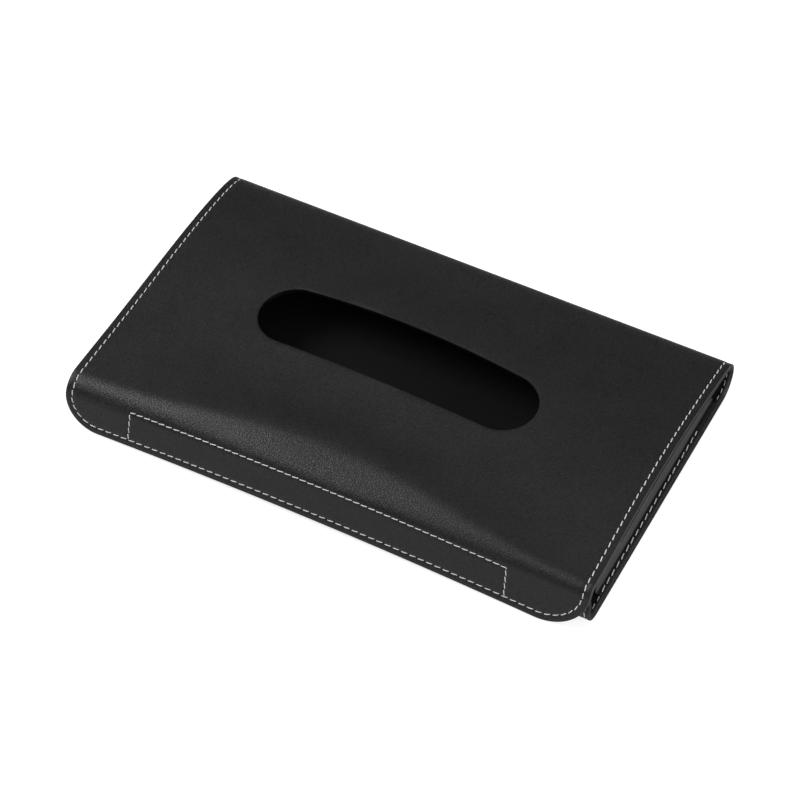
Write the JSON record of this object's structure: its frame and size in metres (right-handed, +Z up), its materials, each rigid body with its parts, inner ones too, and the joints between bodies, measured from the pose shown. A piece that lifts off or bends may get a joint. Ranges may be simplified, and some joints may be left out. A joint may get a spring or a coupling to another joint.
{
  "type": "car tissue holder",
  "caption": "Closed wallet of black imitation leather with a dispensing slot, a hinged cover, a front flap with a tape closure and bands for a sun visor.",
  "frame": {"origin": "on the resting plane, under the middle of the closed object", "axes": "+X along the length, +Y towards the spine, away from the front flap, +Z up out of the slot"},
  "size_m": [0.23, 0.142, 0.0291],
  "materials": {
    "outer_leather": "fine pebble grain, low sheen",
    "inner_lining": "smooth black lining",
    "stiffener": "plain grey board",
    "padding": "soft foam",
    "hook_tape": "moulded hooks",
    "loop_tape": "brushed loops",
    "wing_web": "grey plain weave",
    "visor_elastic": "ribbed woven elastic"
  },
  "bodies": {
    "back": {"back_leather": "outer_leather", "back_board": "stiffener", "back_lining": "inner_lining", "loop_strip": "loop_tape", "left_visor_strap": "visor_elastic", "right_visor_strap": "visor_elastic", "left_wing_hem": "wing_web", "right_wing_hem": "wing_web"},
    "cover": {"cover_leather": "outer_leather", "cover_foam": "padding", "cover_lining": "inner_lining"},
    "flap": {"flap_leather": "outer_leather", "flap_facing": "inner_lining", "hook_strip": "hook_tape"},
    "left_wing": {"left_wing": "wing_web"},
    "right_wing": {"right_wing": "wing_web"}
  },
  "joints": [
    {"name": "cover_fold", "type": "hinge", "parent": "back", "child": "cover", "pos_m": [0, 0.071, 0.0106], "axis": [-1, 0, 0], "range_deg": [0, 165]},
    {"name": "flap_fold", "type": "hinge", "parent": "cover", "child": "flap", "pos_m": [0, -0.06494, 0.02217], "axis": [-1, 0, 0], "range_deg": [0, 85]},
    {"name": "left_wing_fold", "type": "hinge", "parent": "back", "child": "left_wing", "pos_m": [-0.11125, -0.0055, 0.00495], "axis": [0, -1, 0], "range_deg": [-60, 10], "stiffness_Nm_per_rad": 0.01},
    {"name": "right_wing_fold", "type": "hinge", "parent": "back", "child": "right_wing", "pos_m": [0.11125, -0.0055, 0.00495], "axis": [0, 1, 0], "range_deg": [-60, 10], "stiffness_Nm_per_rad": 0.01}
  ]
}
